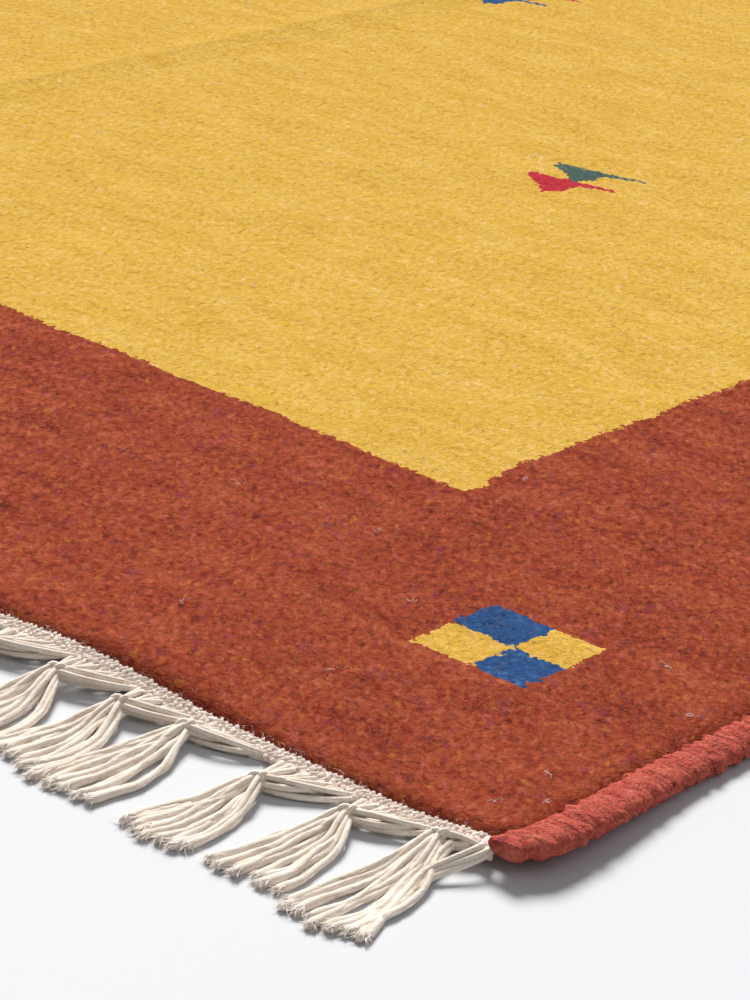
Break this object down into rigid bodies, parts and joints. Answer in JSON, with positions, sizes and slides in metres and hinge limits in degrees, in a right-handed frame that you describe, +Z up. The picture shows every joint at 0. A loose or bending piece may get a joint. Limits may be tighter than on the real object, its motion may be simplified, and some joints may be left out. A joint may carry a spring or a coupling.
{
  "type": "kilim rug",
  "caption": "Flat-woven wool rug with bordered field, small bird and checker motifs, overcast side bindings and knotted cotton fringes.",
  "frame": {"origin": "on the floor under the middle of the rug", "axes": "+Z up, +Y along the length, +X across the width; the lifted corner is at +X, -Y"},
  "size_m": [1.4064, 2.1592, 0.0124],
  "materials": {
    "wool_weave": "matt hand-spun wool in a weft-faced flat weave, yellow field in a rust border",
    "overcast_wool": "matt hairy wool overcasting",
    "cotton_fringe": "matt undyed cotton, twined and knotted"
  },
  "bodies": {
    "root": {"woven_cloth": "wool_weave", "binding_right": "overcast_wool", "binding_left": "overcast_wool", "fringe_near": "cotton_fringe", "fringe_far": "cotton_fringe"}
  },
  "joints": []
}
